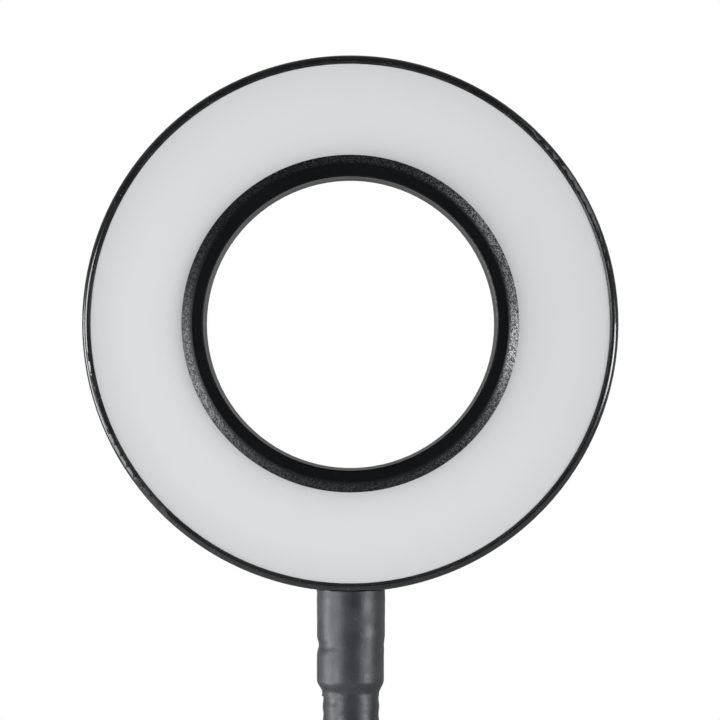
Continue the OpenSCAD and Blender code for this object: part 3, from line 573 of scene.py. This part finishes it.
NEUTRAL = (1.0, 1.0, 1.03)
FINISHES = {
    "front_shell": gloss_shell(),
    "back_shell": moulded_plastic("fine_grained_back", 0.016, NEUTRAL, 0.22, 0.02, 0.42),
    "diffuser": milky_diffuser(),
    "inner_bezel": bezel_plastic(),
    "reflector": plain_part("white_tray", (0.82, 0.82, 0.8), 0.4),
    "led_board": plain_part("white_solder_mask", (0.78, 0.78, 0.74), 0.3),
    "leds_cool": plain_part("pale_phosphor", (0.85, 0.85, 0.55), 0.25),
    "leds_warm": plain_part("amber_phosphor", (0.9, 0.6, 0.18), 0.25),
    "small_screws": machined_metal("dark_zinc_screws", (0.34, 0.34, 0.35), 0.38, 0.1),
    "connectors": plain_part("natural_nylon", (0.78, 0.75, 0.64), 0.45),
    "lead": plain_part("lead_jacket", (0.02, 0.02, 0.021), 0.45),
    "ferrule": machined_metal("plated_ferrule", (0.62, 0.62, 0.63), 0.3),
    "nut": machined_metal("zinc_nut", (0.55, 0.55, 0.56), 0.36),
    "boot": rubber_skin("matte_shrink_boot", 0.036, 0.2),
    "hose": machined_metal("wound_steel", (0.45, 0.45, 0.46), 0.4, 1.1, 0.2),
    "cover": rubber_skin("matte_neck_rubber", 0.034, 0.22),
    "pod_housing": moulded_plastic("fine_grained_pod", 0.018, NEUTRAL, 0.24, 0.022, 0.42),
    "control_board": plain_part("green_solder_mask", (0.015, 0.11, 0.04), 0.25),
    "tact_switches": plain_part("switch_body", (0.03, 0.03, 0.032), 0.5),
    "power_inlet": machined_metal("drawn_inlet_shell", (0.66, 0.66, 0.67), 0.28, 0.2),
    "clamp_frame": moulded_plastic("glass_filled_clamp", 0.02, NEUTRAL, 0.34, 0.05, 0.5),
    "pads": rubber_skin("pad_rubber", 0.03, 0.4),
    "thread_insert": machined_metal("turned_brass", (0.72, 0.52, 0.24), 0.3),
    "pressure_pad": machined_metal("cast_pad", (0.52, 0.52, 0.53), 0.4),
    "clamp_spindle": machined_metal("plated_spindle", (0.58, 0.58, 0.59), 0.28),
    "clamp_knob": moulded_plastic("grained_knob", 0.02, NEUTRAL, 0.34, 0.05, 0.5),
}


def clothe(piece, finish):
    piece.data.materials.clear()
    piece.data.materials.append(finish.material)


for entry in frame["record"]["subparts"]:
    if entry["material_slot"] in FINISHES:
        clothe(NODES[entry["node"]], FINISHES[entry["material_slot"]])

for button, mark in (("power_button", "ring"), ("brighter_button", "plus"), ("dimmer_button", "minus")):
    low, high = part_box(button)
    middle = Vector(((low.x + high.x) / 2, (low.y + high.y) / 2, high.z))
    clothe(NODES[button], printed_button(f"{button}_print", middle, mark))

# ---------- new surfaces ----------


def grid_piece(name, points, hollow=False):
    """A mesh from points[row, column], rows along the piece and columns round it, closed
    round the columns. Its two ends are capped with fans round their middles, or, when
    hollow, the last row joins the first so that the wall turns back on itself."""
    rows, columns = points.shape[:2]
    index = np.arange(rows * columns).reshape(rows, columns)
    turn = np.roll(index, -1, axis=1)
    last = rows if hollow else rows - 1
    nxt = np.roll(index, -1, axis=0)
    nxt_turn = np.roll(turn, -1, axis=0)
    quads = np.stack([index, turn, nxt_turn, nxt], axis=-1)[:last].reshape(-1, 4)
    verts = points.reshape(-1, 3)
    faces = quads.tolist()
    if not hollow:
        ends = np.stack([points[0].mean(0), points[-1].mean(0)])
        verts = np.vstack([verts, ends])
        start, stop = rows * columns, rows * columns + 1
        low = np.column_stack([np.roll(index[0], -1), index[0], np.full(columns, start)])
        high = np.column_stack([index[-1], np.roll(index[-1], -1), np.full(columns, stop)])
        faces += low.tolist() + high.tolist()
    mesh = bpy.data.meshes.new(name)
    mesh.from_pydata(verts.tolist(), [], faces)
    mesh.polygons.foreach_set("use_smooth", np.ones(len(mesh.polygons), bool))
    mesh.set_sharp_from_angle(angle=math.radians(45))
    mesh.update()
    piece = bpy.data.objects.new(name, mesh)
    bpy.context.scene.collection.objects.link(piece)
    return piece


def smooth(t):
    """0 before 0 and 1 after 1, with no corner: 3t^2 - 2t^3 in between."""
    t = np.clip(t, 0, 1)
    return t * t * (3 - 2 * t)


def ripple(along, turn, seed, waves, around):
    """A sum of sines in distance along and turn round, each with its own wavelength in
    metres from waves, a whole number of lobes round from around, and a phase drawn from
    the seed. It runs from about -1 to 1."""
    draw = np.random.default_rng(seed)
    total = np.zeros(np.broadcast(along, turn).shape)
    for wave, lobes in zip(waves, around):
        phase, tilt = draw.uniform(0, 2 * np.pi, 2)
        swell = np.sin(2 * np.pi * along / wave + lobes * turn + phase)
        total = total + swell * np.cos(tilt + lobes * turn)
    return total / np.sqrt(len(waves))


SKIN_TURNS = 72
TURN = np.linspace(0, 2 * np.pi, SKIN_TURNS, endpoint=False)


def neck_radius(along, turn):
    """Radius of the neck's skin at a distance along it from its lower seat: the cover's
    radius, with soft uneven ribs 2 to 4 mm apart that drift round it, and slower lumps."""
    ribs = ripple(along, turn, 11, (2.3 * MM, 2.9 * MM, 4.3 * MM), (0, 1, 1))
    lumps = ripple(along, turn, 23, (13 * MM, 21 * MM, 34 * MM), (1, 2, 1))
    return COVER_R + 0.05 * MM * ribs + 0.035 * MM * lumps + OFF_AXIS * np.cos(turn)


def lean_axes(lean):
    """Unit vectors across and along a length of neck that leans forwards by lean."""
    up = np.stack([np.zeros_like(lean), -np.sin(lean), np.cos(lean)], axis=-1)
    across = np.stack([np.zeros_like(lean), np.cos(lean), np.sin(lean)], axis=-1)
    return across, up


def neck_skin(k):
    """The skin over bending place k, from the middle of the length below to the middle of
    the length above. Its centre line is the straight line through the bend, turned about
    the bend by a share of the stored bend that grows smoothly from 0 to 1 within reach of
    the bend, and each ring of points is turned with it."""
    below = BEND_PITCH / 2 if k > 1 else SKIN_END
    above = BEND_PITCH / 2 if k < BEND_COUNT else SKIN_END
    reach = BEND_PITCH / 2 if 1 < k < BEND_COUNT else SKIN_END_BEND
    rows = int((below + above) / SKIN_ROW) + 1
    s = np.linspace(-below, above, rows)
    share = smooth((s + reach) / (2 * reach))
    lean = LEANS[k - 1] + share * (LEANS[k] - LEANS[k - 1])
    across, up = lean_axes(lean)
    centre = BENDS[k - 1] + up * s[:, None]
    along = END_LENGTH + (k - 1) * BEND_PITCH + s
    radius = neck_radius(along[:, None], TURN[None, :])
    side = np.cos(TURN)[None, :, None] * np.array([1.0, 0, 0])
    fore = np.sin(TURN)[None, :, None] * across[:, None, :]
    piece = grid_piece(f"neck_skin_{k:02d}", centre[:, None, :] + radius[..., None] * (side + fore))
    covered = [f"cover_{k - 1:02d}"] + ([f"cover_{k:02d}"] if k == BEND_COUNT else [])
    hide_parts(*covered)
    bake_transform(piece)
    clothe(piece, FINISHES["cover"])
    return piece


def boot_piece(name, node, body, seat, upwards, lip, seed):
    """A shrink boot, from its seat to its thin end. The outside is the full radius with slow
    lumps, dented a third of a millimetre on the left 9.1 mm from the seat and drawn in a
    fifth of one on the right beyond that; it closes down to the neck's skin over 2 mm. The
    inside follows the ferrule and then the skin. The lip is how far the sleeve's edge
    reaches past its seat."""
    full, inside, thin = BOOT_R, 5.22 * MM, COVER_R + 0.1 * MM
    s = np.concatenate([np.linspace(-lip, 14.6 * MM, 60), np.linspace(14.75 * MM, BOOT_END, 24)])
    step = smooth((s - 15.1 * MM) / (2.1 * MM))
    outline = full * (1 - step) + thin * step
    lumps = ripple(s[:, None], TURN[None, :], seed, (6.5 * MM, 11 * MM, 17 * MM), (1, 2, 1))
    fine = ripple(s[:, None], TURN[None, :], seed + 1, (2.2 * MM, 3.1 * MM), (3, 2))
    calm = 1 - 0.85 * smooth((s - 16.4 * MM) / (1.2 * MM))
    outer = outline[:, None] + (0.025 * MM * lumps + 0.015 * MM * fine) * calm[:, None]
    left = np.exp(-((np.cos(TURN) + 1) / 0.5) ** 2)[None, :]
    right = np.exp(-((np.cos(TURN) - 1) / 0.6) ** 2)[None, :]
    dent = np.exp(-((s - 9.1 * MM) / (1.0 * MM)) ** 2)[:, None]
    outer = outer + OFF_AXIS * np.cos(TURN) * calm[:, None] - 0.34 * MM * left * dent
    outer = outer - 0.2 * MM * right * smooth((s - 6.8 * MM) / (2.4 * MM))[:, None] * (1 - step[:, None])
    back = s[::-1]
    bore = np.where(back < FERRULE_LENGTH + 0.1 * MM, inside, COVER_R)
    bore = np.where(back < 0.0, full - 0.06 * MM, bore)
    inner = np.repeat(bore[:, None], SKIN_TURNS, axis=1)
    radius = np.vstack([outer, inner])
    height = np.concatenate([s, back])
    sign = 1.0 if upwards else -1.0
    turn = TURN if upwards else -TURN
    x = seat[0] + radius * np.cos(turn)[None, :]
    y = seat[1] + radius * np.sin(turn)[None, :]
    z = seat[2] + sign * np.repeat(height[:, None], SKIN_TURNS, axis=1)
    piece = grid_piece(name, np.stack([x, y, z], axis=-1), hollow=True)
    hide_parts(node)
    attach(piece, body)
    clothe(piece, FINISHES["boot"])
    return piece


def threaded_spindle():
    """The clamp screw: a rod whose radius follows a trapezoid thread of 2 mm pitch. The
    thread's phase is the height less the turn over one pitch; its depth fades out over
    1.5 mm at both ends of the threaded length. The pin on top is a plain step."""
    low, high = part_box("clamp_spindle")
    pin_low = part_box("pressure_pad")[0].z - 0.1 * MM
    pitch, depth, r, pin_r, groove_r = 2 * MM, 0.75 * MM, 4 * MM, 2.5 * MM, 2.0 * MM
    clip_low, clip_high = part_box("pad_clip")[0].z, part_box("pad_clip")[1].z
    columns = 60
    turn = np.linspace(0, 2 * np.pi, columns, endpoint=False)
    rod = np.arange(low.z, pin_low - 0.5 * MM, 0.16 * MM)
    phase = (rod[:, None] / pitch - turn[None, :] / (2 * np.pi)) % 1.0
    tooth = smooth((np.abs(phase - 0.5) - 0.14) / 0.16)
    start, stop = low.z + 11 * MM, pin_low - 1.2 * MM
    fade = smooth((rod - start) / (1.5 * MM)) * smooth((stop - rod) / (1.5 * MM))
    thread = r - depth * (1 - tooth) * fade[:, None]
    steps = [(pin_low - 0.4 * MM, r), (pin_low, r - 0.4 * MM), (pin_low, pin_r),
             (clip_low - 0.05 * MM, pin_r), (clip_low - 0.05 * MM, groove_r),
             (clip_high + 0.05 * MM, groove_r), (clip_high + 0.05 * MM, pin_r),
             (high.z - 0.2 * MM, pin_r), (high.z, pin_r - 0.2 * MM)]
    top_z = np.array([z for z, _ in steps])
    top_r = np.repeat(np.array([q for _, q in steps])[:, None], columns, axis=1)
    radius = np.vstack([thread, top_r])
    height = np.repeat(np.concatenate([rod, top_z])[:, None], columns, axis=1)
    points = np.stack([radius * np.cos(turn), radius * np.sin(turn), height], axis=-1)
    piece = grid_piece("threaded_spindle", points)
    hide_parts("clamp_spindle")
    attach(piece, "clamp_screw")
    clothe(piece, FINISHES["clamp_spindle"])
    return piece


for k in range(1, BEND_COUNT + 1):
    neck_skin(k)
boot_piece("upper_shrink_boot", "upper_boot", "head", TOP_SEAT, False, 0.26 * MM, 31)
boot_piece("lower_shrink_boot", "lower_boot", "base", LOW_SEAT, True, -0.03 * MM, 47)
threaded_spindle()
